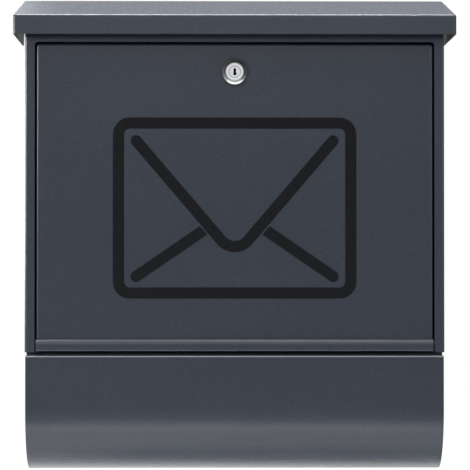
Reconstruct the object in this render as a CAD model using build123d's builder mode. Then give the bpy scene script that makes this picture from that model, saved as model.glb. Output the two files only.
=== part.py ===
from build123d import *
import os
from math import atan2, cos, hypot, radians, sin, sqrt, tan

# Wall mounted mailbox of folded, powder-coated sheet steel: a cabinet with a drop-down door, a
# roof-shaped lid over the mail mouth and an open newspaper holder below. Millimetres, +X to the
# right seen from the front, +Y into the wall, +Z up. The wall face is the plane Y = 0 and the
# origin is the middle of the four wall holes.

# Sheet steel
sheet = 1.0
bend_inside = 1.0

# Clearances
fit_clearance = 0.03
running_clearance = 0.05
seat_gap = 0.3

# Cabinet
cabinet_width = 360.0
cabinet_depth = 106.0
front_height = 288.1
stile_width = 8.5
rear_flange = 14.0
back_corner = 4.0
mount_height = 150.0
wall_hole_diameter = 6.5
wall_hole_pitch_x = 280.0
wall_hole_pitch_z = 180.0
floor_flange = 7.5
floor_lip = 3.6
floor_roll_gap = 1.0

# Door and its hinge
hinge_height = 6.45
door_side_gap = 1.2
door_top_gap = 1.8
door_recess = 1.5
door_return = 13.0
door_corner = 2.5
roll_diameter = 11.0
roll_slit = 1.0
roll_heel_round = 1.6
return_roll_gap = 1.5
hinge_pin_diameter = 4.0
hinge_pin_reach = 12.0
hinge_pin_gap = 0.5
hinge_pin_chamfer = 0.5
bush_length = 14.0
stop_ear_depth = 4.0
stop_ear_gap = 0.5

# Envelope emblem, a thin film on the door
emblem_width = 209.0
emblem_height = 155.5
emblem_stroke = 9.6
emblem_corner = 14.6
emblem_drop = 140.8
emblem_film = 0.2
flap_inset = 20.0
flap_angle = 49.5
flap_round = 15.0
fold_inset = 19.0
fold_angle = 34.5
fold_gap = 1.3

# Top rail
door_stop_gap = 1.5
keeper_lap = 6.0
rail_corner = 3.0

# Lid and its pivots
lid_front_overhang = 18.0
lid_side_overhang = 8.8
lid_front_height = 16.7
lid_lap = 5.1
lid_pitch = 11.7
lid_open_angle = 75.0
lid_edge_gap = 4.0
skirt_cut_depth = 9.0
skirt_cut_height = 18.0
pivot_inset = 14.0
pivot_ear_radius = 5.0
pivot_ear_gap = 0.5
lid_wall_gap = 0.6
lid_notch_gap = 1.2
rivet_diameter = 5.0
rivet_head_diameter = 9.5
rivet_head_height = 2.0
rivet_tail_diameter = 8.0
rivet_tail_height = 1.5
spacer_diameter = 9.0

# Rubber buffers
lid_buffer_diameter = 8.0
lid_buffer_height = 8.0
lid_buffer_pitch = 240.0
lid_buffer_round = 1.0
door_buffer_width = 12.0
door_buffer_height = 5.0
door_buffer_pitch = 220.0

# Lock
lock_drop = 24.0
seal_diameter = 24.0
seal_thickness = 0.8
bezel_diameter = 21.0
bezel_rim = 0.9
bezel_height = 3.2
bezel_face_diameter = 15.6
bezel_round = 0.6
barrel_diameter = 16.0
barrel_flats = 14.0
barrel_hole_gap = 0.15
lock_washer_diameter = 22.0
lock_washer_thickness = 0.8
lock_washer_teeth = 14
lock_washer_tooth = 1.6
lock_nut_flats = 21.0
lock_nut_height = 4.0
plug_head_diameter = 10.4
plug_head_length = 2.0
plug_diameter = 9.0
plug_recess = 0.3
keyway_width = 2.0
keyway_height = 5.9
keyway_groove = 0.8
keyway_groove_height = 1.9
keyway_tilt = 4.0
keyway_depth = 10.5
wafer_count = 5
wafer_pitch = 1.5
wafer_thickness = 0.8
wafer_width = 3.6
wafer_height = 8.0
wafer_window = 6.3
wafer_gap = 0.1
cam_gap = 0.5
cam_thickness = 2.0
cam_hub_diameter = 16.0
cam_width = 12.0
cam_lap = 10.6
cam_square = 6.0
cam_screw_diameter = 4.0
cam_screw_web = 1.5
cam_screw_head_diameter = 8.0
cam_screw_head_height = 2.6
cam_washer_diameter = 11.0
cam_washer_thickness = 1.0

# Newspaper holder and its bolts
holder_gap = 2.7
holder_side_inset = 0.8
holder_depth = 108.0
holder_height = 102.8
holder_flange = 30.0
holder_hem = 7.0
bolt_diameter = 5.0
bolt_count = 3
bolt_pitch = 130.0
bolt_inset = 17.0
bolt_hole_gap = 0.25
bolt_head_diameter = 9.5
bolt_head_height = 3.0
bolt_end = 1.5
bolt_washer_diameter = 10.0
bolt_washer_thickness = 1.0
bolt_nut_flats = 8.0
bolt_nut_height = 4.0
drive_slot_width = 1.2
drive_slot_depth = 1.3

# Places of the cabinet
bend_outside = bend_inside + sheet
half_width = cabinet_width / 2
inner_half_width = half_width - sheet
opening_half_width = half_width - stile_width
base_z = -mount_height
front_y = -cabinet_depth
stile_rear_y = front_y + sheet
panel_rear_y = -sheet

# Heights at the front, from the lid's upper bend down to the lower edge of the rail
lid_front_top_z = base_z + front_height
lid_bottom_z = lid_front_top_z - lid_front_height
rail_bottom_z = lid_bottom_z - lid_lap

# Places of the door: its hinge pins pass close behind the stiles
hinge_pin_radius = hinge_pin_diameter / 2
hinge_y = stile_rear_y + hinge_pin_gap + hinge_pin_radius
hinge_z = base_z + hinge_height
roll_radius = roll_diameter / 2
roll_bore_radius = roll_radius - sheet
door_half_width = opening_half_width - door_side_gap
door_y = front_y + door_recess
door_rear_y = door_y + door_return
door_top_z = rail_bottom_z - door_top_gap
stop_ear_top_z = hinge_z + hinge_y - stile_rear_y - seat_gap
stop_ear_bottom_z = stop_ear_top_z - sheet
floor_front_y = hinge_y + roll_radius + floor_roll_gap
keeper_y = door_rear_y + door_stop_gap
rail_rear_y = keeper_y + sheet

# Places of the lid: the rear edge of the roof swings round the pivots just clear of the back panel
pitch = radians(lid_pitch)
lid_half_width = half_width + lid_side_overhang
lid_front_y = front_y - lid_front_overhang


def roof_z(y):
    """Height of the roof's outer skin at depth y."""
    return lid_front_top_z + (y - lid_front_y) * tan(pitch)


def roof_inside_z(y):
    """Height of the roof's inner skin at depth y."""
    return roof_z(y) - sheet / cos(pitch)


pivot_y = -pivot_inset
roof_inside_rise = pivot_ear_radius + pivot_ear_gap
roof_outside_rise = roof_inside_rise + sheet
pivot_z = roof_z(pivot_y) - roof_outside_rise / cos(pitch)
lid_sweep_radius = pivot_inset - sheet - lid_wall_gap
lid_rear_run = sqrt(lid_sweep_radius**2 - roof_outside_rise**2)
lid_rear_y = pivot_y - roof_outside_rise * sin(pitch) + lid_rear_run * cos(pitch)
rear_corner_angle = atan2(lid_rear_run, roof_inside_rise) - pitch + radians(lid_open_angle)
rear_corner_drop = -hypot(lid_rear_run, roof_inside_rise) * cos(rear_corner_angle)
notch_z = pivot_z - max(rear_corner_drop + lid_notch_gap, pivot_ear_radius)
lid_buffer_y = (front_y + rail_rear_y) / 2
lid_buffer_radius = lid_buffer_diameter / 2
rail_top_z = roof_inside_z(lid_buffer_y - lid_buffer_radius) - lid_buffer_height - seat_gap

# Places of the lock, from the bezel's face back to the cam behind the rail's keeper
lock_z = door_top_z - lock_drop
bezel_base_y = door_y - seal_thickness
bezel_face_y = bezel_base_y - bezel_height
lock_washer_y = door_y + sheet
lock_nut_y = lock_washer_y + lock_washer_thickness
cam_y = rail_rear_y + cam_gap
barrel_rear_y = cam_y - seat_gap
plug_face_y = bezel_face_y + plug_recess
plug_head_rear_y = plug_face_y + plug_head_length
cam_rear_y = cam_y + cam_thickness
cam_washer_rear_y = cam_rear_y + cam_washer_thickness
cam_screw_tip_y = plug_face_y + keyway_depth + cam_screw_web
cam_reach = lock_drop + door_top_gap + cam_lap
barrel_radius = barrel_diameter / 2
barrel_hole_diameter = barrel_diameter + 2 * barrel_hole_gap

# Places of the newspaper holder
holder_front_y = -holder_depth
holder_radius = holder_depth / 2
holder_bottom_z = base_z - holder_height
holder_centre_z = holder_bottom_z + holder_radius
holder_front_top_z = base_z - holder_gap
bolt_y = -bolt_inset


def facing(y, z=0.0, tilt=0.0):
    """Plane at depth y and height z that faces the front, turned clockwise by tilt degrees."""
    turn = radians(tilt)
    return Plane(origin=(0, y, z), x_dir=(cos(turn), 0, -sin(turn)), z_dir=(0, -1, 0))


def side_on(x=0.0):
    """Plane across the box at x, drawn in Y and Z."""
    return Plane.YZ.offset(x)


def folded_sheet(path):
    """Draw the section of a folded sheet with one skin along path and its thickness on the left."""
    points = [Vector(*point) for point in path]
    normals = []
    for start, end in zip(points, points[1:]):
        normals.append((end - start).normalized().rotate(Axis.Z, 90))
    skin = [points[0] + normals[0] * sheet]
    path_radii = [0.0]
    skin_radii = [0.0]
    for point, before, after in zip(points[1:], normals, normals[1:]):
        skin.append(point + (before + after) * (sheet / (1 + before.dot(after))))
        turns_left = before.cross(after).Z > 0
        path_radii.append(bend_outside if turns_left else bend_inside)
        skin_radii.append(bend_inside if turns_left else bend_outside)
    skin.append(points[-1] + normals[-1] * sheet)
    path_radii.append(0.0)
    skin_radii.append(0.0)
    with BuildLine() as outline:
        FilletPolyline(*points, *reversed(skin), radius=path_radii + skin_radii[::-1], close=True)
    make_face(outline.edges())


def ring(plane, outer_diameter, inner_diameter, length):
    """Add a plain ring that stands on plane and is length thick."""
    with BuildSketch(plane) as section:
        Circle(outer_diameter / 2)
        Circle(inner_diameter / 2, mode=Mode.SUBTRACT)
    extrude(section.sketch, amount=length)


os.makedirs("parts", exist_ok=True)

# Side panels: stile, wall and rear flange in one fold, with an ear for the lid's pivot
with BuildPart() as side_panel_right:
    with BuildSketch(Plane.XY.offset(base_z)):
        folded_sheet(
            [
                (opening_half_width, front_y),
                (half_width, front_y),
                (half_width, panel_rear_y),
                (half_width - rear_flange, panel_rear_y),
            ]
        )
    extrude(amount=pivot_z + pivot_ear_radius - base_z)
    with BuildSketch(side_on()):
        with BuildLine():
            Polyline(
                (front_y, base_z),
                (front_y, roof_inside_z(front_y) - lid_edge_gap),
                (pivot_y, roof_inside_z(pivot_y) - lid_edge_gap),
                (pivot_y + pivot_ear_radius, pivot_z),
                (pivot_y + pivot_ear_radius, notch_z),
                (panel_rear_y, notch_z),
                (panel_rear_y, base_z),
                close=True,
            )
        make_face()
        with Locations((pivot_y, pivot_z)):
            Circle(pivot_ear_radius)
    extrude(amount=half_width, mode=Mode.INTERSECT)
    with BuildSketch(side_on(half_width)):
        with Locations((hinge_y, hinge_z)):
            Circle(hinge_pin_radius + fit_clearance)
        with Locations((pivot_y, pivot_z)):
            Circle(rivet_diameter / 2 + fit_clearance)
    extrude(amount=-bend_outside, mode=Mode.SUBTRACT)
side_panel_right.part.label = "side_panel_right"
export_step(side_panel_right.part, "parts/side_panel_right.step")

with BuildPart() as side_panel_left:
    mirror(side_panel_right.part, about=Plane.YZ)
side_panel_left.part.label = "side_panel_left"
export_step(side_panel_left.part, "parts/side_panel_left.step")

# Back panel with the four wall holes
with BuildPart() as back_panel:
    with BuildSketch(facing(0)):
        with Locations((0, base_z)):
            Rectangle(cabinet_width, pivot_z - base_z, align=(Align.CENTER, Align.MIN))
        fillet(vertices().group_by(Axis.Y)[-1], radius=back_corner)
        with GridLocations(wall_hole_pitch_x, wall_hole_pitch_z, 2, 2):
            Circle(wall_hole_diameter / 2, mode=Mode.SUBTRACT)
    extrude(amount=sheet)
back_panel.part.label = "back_panel"
export_step(back_panel.part, "parts/back_panel.step")

# Floor tray: up-turned at the sides and the rear; its front lip turns down to close the slot
# over the newspaper holder
with BuildPart() as floor_tray:
    with BuildSketch(Plane.XY.offset(base_z)):
        with Locations((0, floor_front_y + bend_outside)):
            Rectangle(
                2 * inner_half_width,
                panel_rear_y - sheet - floor_front_y - bend_outside,
                align=(Align.CENTER, Align.MIN),
            )
    extrude(amount=floor_flange)
    fillet(edges().filter_by(Axis.Z).group_by(Axis.Y)[-1], radius=bend_outside)
    fillet(faces().sort_by(Axis.Z)[0].edges().sort_by(Axis.Y)[1:], radius=bend_outside)
    offset(amount=-sheet, openings=[faces().sort_by(Axis.Z)[-1], faces().sort_by(Axis.Y)[0]])
    with BuildSketch(side_on()):
        folded_sheet(
            [
                (floor_front_y + bend_outside + sheet, base_z + sheet),
                (floor_front_y, base_z + sheet),
                (floor_front_y, base_z - floor_lip),
            ]
        )
    extrude(amount=inner_half_width, both=True)
    with BuildSketch(Plane.XY.offset(base_z)):
        with Locations((0, bolt_y)):
            with GridLocations(bolt_pitch, 1, bolt_count, 1):
                Circle(bolt_diameter / 2 + bolt_hole_gap)
    extrude(amount=sheet, mode=Mode.SUBTRACT)
floor_tray.part.label = "floor_tray"
export_step(floor_tray.part, "parts/floor_tray.step")

# Top rail: front face, top and the hanging keeper behind the door's top return
with BuildPart() as top_rail:
    with BuildSketch(side_on()):
        folded_sheet(
            [
                (rail_rear_y, door_top_z - keeper_lap),
                (rail_rear_y, rail_top_z),
                (front_y, rail_top_z),
                (front_y, rail_bottom_z),
            ]
        )
    extrude(amount=opening_half_width, both=True)
    with BuildSketch(facing(stile_rear_y)):
        with Locations((0, rail_bottom_z)):
            Rectangle(2 * opening_half_width, rail_corner, align=(Align.CENTER, Align.MAX))
            RectangleRounded(
                2 * opening_half_width,
                4 * rail_corner,
                rail_corner,
                align=(Align.CENTER, Align.MAX),
                mode=Mode.SUBTRACT,
            )
    extrude(amount=sheet)
top_rail.part.label = "top_rail"
export_step(top_rail.part, "parts/top_rail.step")

# Lid: sloped roof, front flange and side skirts in one shell, open at the rear and below
with BuildPart() as lid_panel:
    with BuildSketch(side_on()):
        with BuildLine():
            Polyline(
                (lid_front_y, lid_bottom_z),
                (lid_front_y, lid_front_top_z),
                (lid_rear_y, roof_z(lid_rear_y)),
                (lid_rear_y, lid_bottom_z + skirt_cut_height),
                (lid_rear_y - skirt_cut_depth, lid_bottom_z),
                close=True,
            )
        make_face()
    extrude(amount=lid_half_width, both=True)
    front_bends = edges().group_by(Axis.Y)[0].sort_by(Axis.Z)[1:]
    roof_bends = edges().filter_by(Axis((0, 0, 0), (0, cos(pitch), sin(pitch))))
    fillet(front_bends + roof_bends, radius=bend_outside)
    bottom = faces().sort_by(Axis.Z)[0]
    rear_faces = faces().sort_by(Axis.Y)[-2:]
    offset(amount=-sheet, openings=[bottom, *rear_faces])
    with BuildSketch(side_on(-lid_half_width)):
        with Locations((pivot_y, pivot_z)):
            Circle(rivet_diameter / 2 + running_clearance)
    extrude(amount=2 * lid_half_width, mode=Mode.SUBTRACT)
lid_panel.part.label = "lid_panel"
export_step(lid_panel.part, "parts/lid_panel.step")

# Lid pivots: shoulder rivets set in the side panels, with nylon spacers inside the skirts
skirt_inner_x = lid_half_width - sheet
rivet_head_x = lid_half_width + seat_gap
with BuildPart() as lid_pivot_rivets:
    with BuildSketch(side_on(inner_half_width - rivet_tail_height)):
        with Locations((pivot_y, pivot_z)):
            Circle(rivet_tail_diameter / 2)
    extrude(amount=rivet_tail_height)
    with BuildSketch(side_on(inner_half_width)):
        with Locations((pivot_y, pivot_z)):
            Circle(rivet_diameter / 2)
    extrude(amount=rivet_head_x - inner_half_width)
    with BuildSketch(side_on(rivet_head_x)):
        with Locations((pivot_y, pivot_z)):
            Circle(rivet_head_diameter / 2)
    extrude(amount=rivet_head_height)
    fillet(edges().group_by(Axis.X)[-1], radius=rivet_head_height / 2)
    mirror(about=Plane.YZ)
lid_pivot_rivets.part.label = "lid_pivot_rivets"
export_step(lid_pivot_rivets.part, "parts/lid_pivot_rivets.step")

with BuildPart() as lid_pivot_spacers:
    with BuildSketch(side_on(half_width)):
        with Locations((pivot_y, pivot_z)):
            Circle(spacer_diameter / 2)
            Circle(rivet_diameter / 2 + fit_clearance, mode=Mode.SUBTRACT)
    extrude(amount=skirt_inner_x - seat_gap - half_width)
    mirror(about=Plane.YZ)
lid_pivot_spacers.part.label = "lid_pivot_spacers"
export_step(lid_pivot_spacers.part, "parts/lid_pivot_spacers.step")

# Rubber buffers: round ones on the rail under the lid, flat pads on the keeper behind the door
with BuildPart() as lid_buffers:
    with BuildSketch(Plane.XY.offset(rail_top_z)):
        with Locations((0, lid_buffer_y)):
            with GridLocations(lid_buffer_pitch, 1, 2, 1):
                Circle(lid_buffer_radius)
    extrude(amount=lid_buffer_height)
    fillet(edges().group_by(Axis.Z)[-1], radius=lid_buffer_round)
lid_buffers.part.label = "lid_buffers"
export_step(lid_buffers.part, "parts/lid_buffers.step")

with BuildPart() as door_buffers:
    with BuildSketch(facing(keeper_y)):
        with Locations((0, door_top_z - keeper_lap)):
            with GridLocations(door_buffer_pitch, 1, 2, 1):
                Rectangle(door_buffer_width, door_buffer_height, align=(Align.CENTER, Align.MIN))
    extrude(amount=door_stop_gap - seat_gap)
door_buffers.part.label = "door_buffers"
export_step(door_buffers.part, "parts/door_buffers.step")

# Door: a tray with the hinge roll along its lower edge and a stop ear behind each stile
with BuildPart() as door_panel:
    with BuildSketch(facing(door_y)):
        with Locations((0, stop_ear_bottom_z)):
            tray_height = door_top_z - stop_ear_bottom_z
            Rectangle(2 * door_half_width, tray_height, align=(Align.CENTER, Align.MIN))
        fillet(vertices().group_by(Axis.Y)[-1], radius=door_corner)
    extrude(amount=-door_return)
    fillet(edges().group_by(Axis.Y)[0].sort_by(Axis.Z)[1:], radius=bend_outside)
    offset(amount=-sheet, openings=[faces().sort_by(Axis.Y)[-1], faces().sort_by(Axis.Z)[0]])
    with BuildSketch(side_on()):
        with Locations(((door_y + sheet + door_rear_y - stop_ear_depth) / 2, hinge_z)):
            Rectangle(
                door_return - sheet - stop_ear_depth,
                2 * (roll_radius + return_roll_gap),
            )
    extrude(amount=door_half_width, both=True, mode=Mode.SUBTRACT)
    with BuildSketch(side_on()):
        with Locations((hinge_y, hinge_z)):
            Circle(roll_radius)
            Rectangle(roll_radius, roll_radius, align=(Align.MAX, Align.MAX))
        roll_heel = (hinge_y - roll_radius, hinge_z - roll_radius)
        fillet(vertices().sort_by_distance(roll_heel)[0], radius=roll_heel_round)
    extrude(amount=door_half_width, both=True)
    with BuildSketch(side_on()):
        with Locations((hinge_y, hinge_z)):
            Circle(roll_bore_radius)
            Rectangle(roll_diameter - roll_bore_radius, roll_slit, align=(Align.MIN, Align.CENTER))
    extrude(amount=door_half_width, both=True, mode=Mode.SUBTRACT)
    ear_root_x = door_half_width - sheet
    ear_tip_x = inner_half_width - sheet - stop_ear_gap
    with BuildSketch(Plane.XY.offset(stop_ear_bottom_z)):
        with Locations((0, door_rear_y - stop_ear_depth / 2)):
            Rectangle(2 * ear_tip_x, stop_ear_depth)
            Rectangle(2 * ear_root_x, stop_ear_depth, mode=Mode.SUBTRACT)
    extrude(amount=sheet)
    with BuildSketch(facing(door_y, lock_z)):
        Circle(barrel_hole_diameter / 2)
        Rectangle(barrel_flats + 2 * barrel_hole_gap, barrel_hole_diameter, mode=Mode.INTERSECT)
    extrude(amount=-sheet, mode=Mode.SUBTRACT)
door_panel.part.label = "door_panel"
export_step(door_panel.part, "parts/door_panel.step")

# Door hinge: pins set flush in the side panels, turning in nylon bushes in the roll's ends
with BuildPart() as door_hinge_pins:
    with BuildSketch(side_on(door_half_width - hinge_pin_reach)):
        with Locations((hinge_y, hinge_z)):
            Circle(hinge_pin_radius)
    extrude(amount=half_width - door_half_width + hinge_pin_reach)
    chamfer(edges().group_by(Axis.X)[0], length=hinge_pin_chamfer)
    mirror(about=Plane.YZ)
door_hinge_pins.part.label = "door_hinge_pins"
export_step(door_hinge_pins.part, "parts/door_hinge_pins.step")

with BuildPart() as door_hinge_bushes:
    with BuildSketch(side_on(door_half_width - bush_length)):
        with Locations((hinge_y, hinge_z)):
            Circle(roll_bore_radius - fit_clearance)
            Circle(hinge_pin_radius + running_clearance, mode=Mode.SUBTRACT)
    extrude(amount=bush_length)
    mirror(about=Plane.YZ)
door_hinge_bushes.part.label = "door_hinge_bushes"
export_step(door_hinge_bushes.part, "parts/door_hinge_bushes.step")

# Envelope emblem: rounded frame, V-shaped flap and two fold strokes that stop short of the flap
with BuildPart() as envelope_emblem:
    with BuildSketch(facing(door_y, door_top_z - emblem_drop)):
        RectangleRounded(emblem_width, emblem_height, emblem_corner)
        RectangleRounded(
            emblem_width - 2 * emblem_stroke,
            emblem_height - 2 * emblem_stroke,
            emblem_corner - emblem_stroke,
            mode=Mode.SUBTRACT,
        )
        flap_x = emblem_width / 2 - flap_inset
        flap_z = emblem_height / 2 - flap_inset
        flap_tip_z = flap_z - flap_x * tan(radians(flap_angle))
        fold_z = fold_inset - emblem_height / 2
        fold_tip_z = fold_z + flap_x * tan(radians(fold_angle))
        with BuildLine() as flap_line:
            FilletPolyline((-flap_x, flap_z), (0, flap_tip_z), (flap_x, flap_z), radius=flap_round)
        for side in (-1, 1):
            with BuildLine() as fold_line:
                Line((side * flap_x, fold_z), (0, fold_tip_z))
            trace(fold_line.edges(), line_width=emblem_stroke)
            with Locations((side * flap_x, fold_z)):
                Circle(emblem_stroke / 2)
        with BuildLine() as flap_cover:
            Polyline((-flap_x, flap_z), (0, flap_tip_z), (flap_x, flap_z), close=True)
        make_face(flap_cover.edges(), mode=Mode.SUBTRACT)
        trace(flap_line.edges(), line_width=emblem_stroke + 2 * fold_gap, mode=Mode.SUBTRACT)
        trace(flap_line.edges(), line_width=emblem_stroke)
        with Locations((-flap_x, flap_z), (flap_x, flap_z)):
            Circle(emblem_stroke / 2)
    extrude(amount=emblem_film)
envelope_emblem.part.label = "envelope_emblem"
export_step(envelope_emblem.part, "parts/envelope_emblem.step")

# Lock housing: bezel with a sloped flank, and a barrel with two flats that keep it from turning
with BuildPart() as lock_housing:
    with BuildSketch(side_on()):
        with BuildLine():
            Polyline(
                (bezel_face_y, lock_z),
                (bezel_face_y, lock_z + bezel_face_diameter / 2),
                (bezel_base_y - bezel_rim, lock_z + bezel_diameter / 2),
                (bezel_base_y, lock_z + bezel_diameter / 2),
                (bezel_base_y, lock_z),
                close=True,
            )
        make_face()
    revolve(axis=Axis((0, 0, lock_z), (0, 1, 0)))
    fillet(edges().group_by(Axis.Y)[0], radius=bezel_round)
    with BuildSketch(facing(bezel_base_y, lock_z)):
        Circle(barrel_radius)
        Rectangle(barrel_flats, barrel_diameter, mode=Mode.INTERSECT)
    extrude(amount=bezel_base_y - barrel_rear_y)
    with BuildSketch(facing(barrel_rear_y, lock_z)):
        Circle(plug_diameter / 2 + running_clearance)
    extrude(amount=barrel_rear_y - bezel_face_y, mode=Mode.SUBTRACT)
    with BuildSketch(facing(plug_head_rear_y + running_clearance, lock_z)):
        Circle(plug_head_diameter / 2 + running_clearance)
    extrude(amount=plug_head_rear_y - bezel_face_y + running_clearance, mode=Mode.SUBTRACT)
lock_housing.part.label = "lock_housing"
export_step(lock_housing.part, "parts/lock_housing.step")

# Seal under the bezel, toothed washer and nut behind the door
with BuildPart() as lock_seal:
    ring(facing(door_y, lock_z), seal_diameter, barrel_hole_diameter, seal_thickness)
lock_seal.part.label = "lock_seal"
export_step(lock_seal.part, "parts/lock_seal.step")

with BuildPart() as lock_washer:
    washer_rear = facing(lock_nut_y, lock_z)
    ring(washer_rear, lock_washer_diameter, barrel_hole_diameter, lock_washer_thickness)
    with BuildSketch(washer_rear):
        with PolarLocations(lock_washer_diameter / 2, lock_washer_teeth):
            Rectangle(lock_washer_tooth, lock_washer_tooth)
    extrude(amount=lock_washer_thickness, mode=Mode.SUBTRACT)
lock_washer.part.label = "lock_washer"
export_step(lock_washer.part, "parts/lock_washer.step")

with BuildPart() as lock_nut:
    with BuildSketch(facing(lock_nut_y, lock_z)):
        RegularPolygon(lock_nut_flats / 2, 6, major_radius=False)
        Circle(barrel_radius + running_clearance, mode=Mode.SUBTRACT)
    extrude(amount=-lock_nut_height)
lock_nut.part.label = "lock_nut"
export_step(lock_nut.part, "parts/lock_nut.step")

# Lock plug: head, body with keyway and wafer slots, and a square end for the cam
wafer_plane_y = [plug_head_rear_y + wafer_pitch * (index + 0.5) for index in range(wafer_count)]
with BuildPart() as lock_plug:
    with BuildSketch(facing(barrel_rear_y, lock_z)):
        Circle(plug_diameter / 2)
    extrude(amount=barrel_rear_y - plug_head_rear_y)
    with BuildSketch(facing(plug_head_rear_y, lock_z)):
        Circle(plug_head_diameter / 2)
    extrude(amount=plug_head_length)
    with BuildSketch(facing(cam_rear_y - running_clearance, lock_z)):
        Rectangle(cam_square, cam_square)
    extrude(amount=cam_rear_y - running_clearance - barrel_rear_y)
    with BuildSketch(facing(plug_face_y + keyway_depth, lock_z, keyway_tilt)):
        Rectangle(keyway_width, keyway_height)
        with Locations((keyway_width / 2, -keyway_height / 4)):
            Rectangle(2 * keyway_groove, keyway_groove_height)
    extrude(amount=keyway_depth, mode=Mode.SUBTRACT)
    for wafer_y in wafer_plane_y:
        with BuildSketch(facing(wafer_y, lock_z, keyway_tilt)):
            Rectangle(wafer_width + 2 * wafer_gap, plug_head_diameter)
        extrude(amount=wafer_thickness / 2 + wafer_gap, both=True, mode=Mode.SUBTRACT)
    with BuildSketch(facing(cam_rear_y, lock_z)):
        Circle(cam_screw_diameter / 2 + fit_clearance)
    extrude(amount=cam_rear_y - cam_screw_tip_y, mode=Mode.SUBTRACT)
lock_plug.part.label = "lock_plug"
export_step(lock_plug.part, "parts/lock_plug.step")

with BuildPart() as lock_wafers:
    for wafer_y in wafer_plane_y:
        with BuildSketch(facing(wafer_y, lock_z, keyway_tilt)):
            Rectangle(wafer_width, wafer_height)
            Rectangle(keyway_width + wafer_gap, wafer_window, mode=Mode.SUBTRACT)
        extrude(amount=wafer_thickness / 2, both=True)
lock_wafers.part.label = "lock_wafers"
export_step(lock_wafers.part, "parts/lock_wafers.step")

# Cam: lies level when unlocked and turns up behind the keeper to lock
with BuildPart() as lock_cam:
    with BuildSketch(facing(cam_rear_y, lock_z)):
        Circle(cam_hub_diameter / 2)
        with Locations(((cam_reach - cam_width / 2) / 2, 0)):
            Rectangle(cam_reach - cam_width / 2, cam_width)
        with Locations((cam_reach - cam_width / 2, 0)):
            Circle(cam_width / 2)
        cam_hole = cam_square + 2 * running_clearance
        Rectangle(cam_hole, cam_hole, mode=Mode.SUBTRACT)
    extrude(amount=cam_thickness)
lock_cam.part.label = "lock_cam"
export_step(lock_cam.part, "parts/lock_cam.step")

with BuildPart() as cam_washer:
    ring(
        facing(cam_washer_rear_y, lock_z),
        cam_washer_diameter,
        cam_screw_diameter + 2 * running_clearance,
        cam_washer_thickness,
    )
cam_washer.part.label = "cam_washer"
export_step(cam_washer.part, "parts/cam_washer.step")

with BuildPart() as cam_screw:
    with BuildSketch(facing(cam_washer_rear_y, lock_z)):
        Circle(cam_screw_diameter / 2)
    extrude(amount=cam_washer_rear_y - cam_screw_tip_y - seat_gap)
    with BuildSketch(facing(cam_washer_rear_y, lock_z)):
        Circle(cam_screw_head_diameter / 2)
    extrude(amount=-cam_screw_head_height)
    fillet(edges().group_by(Axis.Y)[-1], radius=cam_screw_head_height / 3)
    with BuildSketch(facing(cam_washer_rear_y + cam_screw_head_height, lock_z)):
        Rectangle(drive_slot_width, cam_screw_head_diameter)
    extrude(amount=drive_slot_depth, mode=Mode.SUBTRACT)
cam_screw.part.label = "cam_screw"
export_step(cam_screw.part, "parts/cam_screw.step")

# Newspaper holder: a trough with a hemmed front edge and a rear flange under the floor
with BuildPart() as newspaper_holder:
    with BuildSketch(side_on()):
        with Locations((-holder_radius, holder_centre_z)):
            Circle(holder_radius)
            Rectangle(holder_depth, base_z - holder_centre_z, align=(Align.CENTER, Align.MIN))
            Circle(holder_radius - sheet, mode=Mode.SUBTRACT)
            Rectangle(
                holder_depth - 2 * sheet,
                base_z - holder_centre_z,
                align=(Align.CENTER, Align.MIN),
                mode=Mode.SUBTRACT,
            )
        with Locations((-holder_radius, base_z)):
            Rectangle(
                holder_depth,
                holder_radius,
                align=(Align.CENTER, Align.MIN),
                mode=Mode.SUBTRACT,
            )
        with Locations((holder_front_y, base_z)):
            Rectangle(
                2 * sheet,
                holder_gap + sheet,
                align=(Align.MIN, Align.MAX),
                mode=Mode.SUBTRACT,
            )
        with Locations((holder_front_y + sheet, holder_front_top_z - sheet)):
            Circle(sheet)
            Rectangle(2 * sheet, holder_hem, align=(Align.CENTER, Align.MAX))
        with Locations((-sheet, base_z)):
            Rectangle(holder_flange - sheet, sheet, align=(Align.MAX, Align.MAX))
        fillet(vertices().sort_by_distance((0, base_z))[0], radius=bend_outside)
        fillet(vertices().sort_by_distance((-sheet, base_z - sheet))[0], radius=bend_inside)
    extrude(amount=half_width - holder_side_inset, both=True)
    with BuildSketch(Plane.XY.offset(base_z)):
        with Locations((0, bolt_y)):
            with GridLocations(bolt_pitch, 1, bolt_count, 1):
                Circle(bolt_diameter / 2 + bolt_hole_gap)
    extrude(amount=-sheet, mode=Mode.SUBTRACT)
newspaper_holder.part.label = "newspaper_holder"
export_step(newspaper_holder.part, "parts/newspaper_holder.step")

# Bolts between holder and floor: heads in the trough, washers and nuts on the floor
bolt_head_z = base_z - sheet
bolt_washer_z = base_z + sheet
bolt_nut_z = bolt_washer_z + bolt_washer_thickness
with BuildPart() as holder_screws:
    with Locations((0, bolt_y, bolt_head_z)):
        with GridLocations(bolt_pitch, 1, bolt_count, 1):
            Cylinder(
                bolt_diameter / 2,
                bolt_nut_z + bolt_nut_height + bolt_end - bolt_head_z,
                align=(Align.CENTER, Align.CENTER, Align.MIN),
            )
            Cylinder(
                bolt_head_diameter / 2,
                bolt_head_height,
                align=(Align.CENTER, Align.CENTER, Align.MAX),
            )
    fillet(edges().group_by(Axis.Z)[0], radius=bolt_head_height / 2)
    with BuildSketch(Plane.XY.offset(bolt_head_z - bolt_head_height)):
        with Locations((0, bolt_y)):
            with GridLocations(bolt_pitch, 1, bolt_count, 1):
                Rectangle(bolt_head_diameter, drive_slot_width)
    extrude(amount=drive_slot_depth, mode=Mode.SUBTRACT)
holder_screws.part.label = "holder_screws"
export_step(holder_screws.part, "parts/holder_screws.step")

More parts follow.
